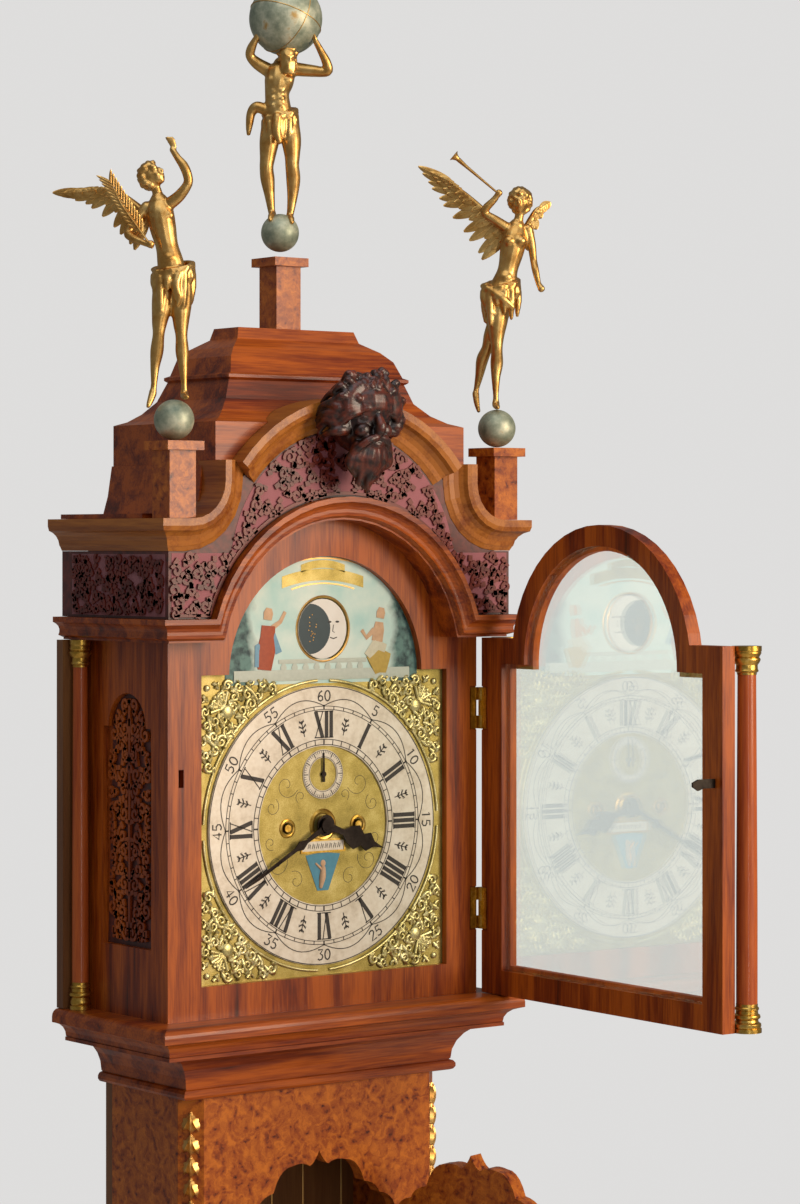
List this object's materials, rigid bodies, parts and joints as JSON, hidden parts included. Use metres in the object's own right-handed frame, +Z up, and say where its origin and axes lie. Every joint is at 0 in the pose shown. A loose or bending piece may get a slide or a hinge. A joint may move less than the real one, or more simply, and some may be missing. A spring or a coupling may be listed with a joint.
{
  "type": "longcase clock",
  "caption": "Tall arched-top longcase clock with a sliding glazed hood, open hood and trunk doors, brass dial, weights, pendulum and gilt figure finials.",
  "frame": {"origin": "on the floor at the middle of the back board's bottom edge", "axes": "+Z up, the dial faces -Y, +X to the right seen from the front"},
  "size_m": [0.5682, 0.5795, 2.7978],
  "materials": {
    "burl_veneer": "french polished",
    "polished_walnut": "french polished",
    "carved_walnut": "waxed",
    "deal_board": "plain",
    "clock_brass": "lacquered",
    "silvered_brass": "silvered",
    "painted_disc": "painted",
    "blued_steel": "blued",
    "gilt_wood": "gilt",
    "painted_globe": "painted",
    "clear_glass": "old crown glass",
    "gut": "twisted gut"
  },
  "bodies": {
    "case": {"base_carcass": "burl_veneer", "foot_front_left": "carved_walnut", "foot_front_right": "carved_walnut", "foot_rear_left": "carved_walnut", "foot_rear_right": "carved_walnut", "base_cap_moulding": "polished_walnut", "back_board": "deal_board", "trunk_side_left": "burl_veneer", "trunk_side_right": "burl_veneer", "trunk_front_frame": "burl_veneer", "throat_moulding": "polished_walnut", "seat_board": "deal_board", "dial_plate": "clock_brass", "chapter_ring": "silvered_brass", "movement_frame": "clock_brass", "bell": "clock_brass", "gut_line_going": "gut", "gut_line_strike": "gut"},
    "hood": {"hood_base_moulding": "polished_walnut", "hood_side_left": "burl_veneer", "hood_side_right": "burl_veneer", "rear_column_left": "polished_walnut", "rear_column_right": "polished_walnut", "dial_mask": "polished_walnut", "hood_arch_moulding": "polished_walnut", "hood_cornice": "polished_walnut", "hood_frieze": "carved_walnut", "caddy_plinth": "burl_veneer", "caddy_lower": "burl_veneer", "caddy_upper": "burl_veneer", "finial_plinth_left": "burl_veneer", "finial_plinth_right": "burl_veneer", "finial_plinth_top": "burl_veneer", "mask_carving": "carved_walnut", "finial_figure_left": "gilt_wood", "finial_figure_right": "gilt_wood", "atlas_figure": "gilt_wood", "atlas_globe": "painted_globe", "hood_hinge_upper_case_leaf": "clock_brass", "hood_hinge_lower_case_leaf": "clock_brass"},
    "hood_door": {"hood_door_frame": "polished_walnut", "hood_door_glass": "clear_glass", "door_column_free_side": "polished_walnut", "door_column_hinge_side": "polished_walnut", "door_catch_hook": "blued_steel", "hood_hinge_upper_door_leaf": "clock_brass", "hood_hinge_lower_door_leaf": "clock_brass"},
    "trunk_door_body": {"trunk_door": "burl_veneer"},
    "minute_hand_body": {"minute_hand": "blued_steel"},
    "hour_hand_body": {"hour_hand": "blued_steel"},
    "seconds_hand_body": {"seconds_hand": "blued_steel"},
    "moon_disc_body": {"moon_disc": "painted_disc"},
    "going_barrel_body": {"going_barrel": "clock_brass"},
    "strike_barrel_body": {"strike_barrel": "clock_brass"},
    "anchor_and_crutch_body": {"anchor_and_crutch": "blued_steel"},
    "pendulum_body": {"pendulum": "clock_brass"},
    "weight_going_body": {"weight_going": "clock_brass"},
    "weight_strike_body": {"weight_strike": "clock_brass"},
    "bell_hammer_body": {"bell_hammer": "blued_steel"}
  },
  "joints": [
    {"name": "hood_slide", "type": "slide", "parent": "case", "child": "hood", "axis": [0, -1, 0], "range_m": [0, 0.3]},
    {"name": "hood_door_hinge", "type": "hinge", "parent": "hood", "child": "hood_door", "pos_m": [0.201, -0.165, 1.92], "axis": [0, 0, 1], "range_deg": [-88, 42]},
    {"name": "trunk_door_hinge", "type": "hinge", "parent": "case", "child": "trunk_door_body", "pos_m": [0.105, -0.153, 1.14], "axis": [0, 0, 1], "range_deg": [-105, 15]},
    {"name": "minute_spin", "type": "hinge", "parent": "case", "child": "minute_hand_body", "pos_m": [0, -0.16, 1.9174], "axis": [0, 1, 0], "continuous": true},
    {"name": "hour_spin", "type": "hinge", "parent": "case", "child": "hour_hand_body", "pos_m": [0, -0.158, 1.9174], "axis": [0, 1, 0], "continuous": true},
    {"name": "seconds_spin", "type": "hinge", "parent": "case", "child": "seconds_hand_body", "pos_m": [0, -0.1, 1.97], "axis": [0, 1, 0], "continuous": true},
    {"name": "moon_spin", "type": "hinge", "parent": "case", "child": "moon_disc_body", "pos_m": [0, -0.15, 2.12], "axis": [0, 1, 0], "continuous": true},
    {"name": "going_barrel_wind", "type": "hinge", "parent": "case", "child": "going_barrel_body", "pos_m": [0.045, -0.09, 1.916], "axis": [0, 1, 0], "range_deg": [-1376, 2980]},
    {"name": "strike_barrel_wind", "type": "hinge", "parent": "case", "child": "strike_barrel_body", "pos_m": [-0.045, -0.09, 1.916], "axis": [0, 1, 0], "range_deg": [-2980, 1376]},
    {"name": "going_weight_fall", "type": "slide", "parent": "case", "child": "weight_going_body", "axis": [0, 0, 1], "range_m": [-0.65, 0.3], "deforming": ["gut_line_going"]},
    {"name": "strike_weight_fall", "type": "slide", "parent": "case", "child": "weight_strike_body", "axis": [0, 0, 1], "range_m": [-0.65, 0.3], "deforming": ["gut_line_strike"]},
    {"name": "pendulum_swing", "type": "hinge", "parent": "case", "child": "pendulum_body", "pos_m": [0, -0.034, 2], "axis": [0, 1, 0], "range_deg": [-3, 3]},
    {"name": "anchor_rock", "type": "hinge", "parent": "case", "child": "anchor_and_crutch_body", "pos_m": [0, -0.06, 2], "axis": [0, 1, 0], "range_deg": [-3, 3]},
    {"name": "hammer_swing", "type": "hinge", "parent": "case", "child": "bell_hammer_body", "pos_m": [-0.055, -0.083, 1.965], "axis": [0, 1, 0], "range_deg": [-12, 0], "stiffness_Nm_per_rad": 0.6}
  ],
  "couplings": [
    {"joint": "hour_spin", "follows": "minute_spin", "ratio": 0.083333},
    {"joint": "seconds_spin", "follows": "minute_spin", "ratio": 60},
    {"joint": "moon_spin", "follows": "minute_spin", "ratio": 0.001411},
    {"joint": "going_barrel_wind", "follows": "going_weight_fall", "rad_per_m": -80},
    {"joint": "strike_barrel_wind", "follows": "strike_weight_fall", "rad_per_m": 80},
    {"joint": "anchor_rock", "follows": "pendulum_swing", "ratio": 1}
  ]
}
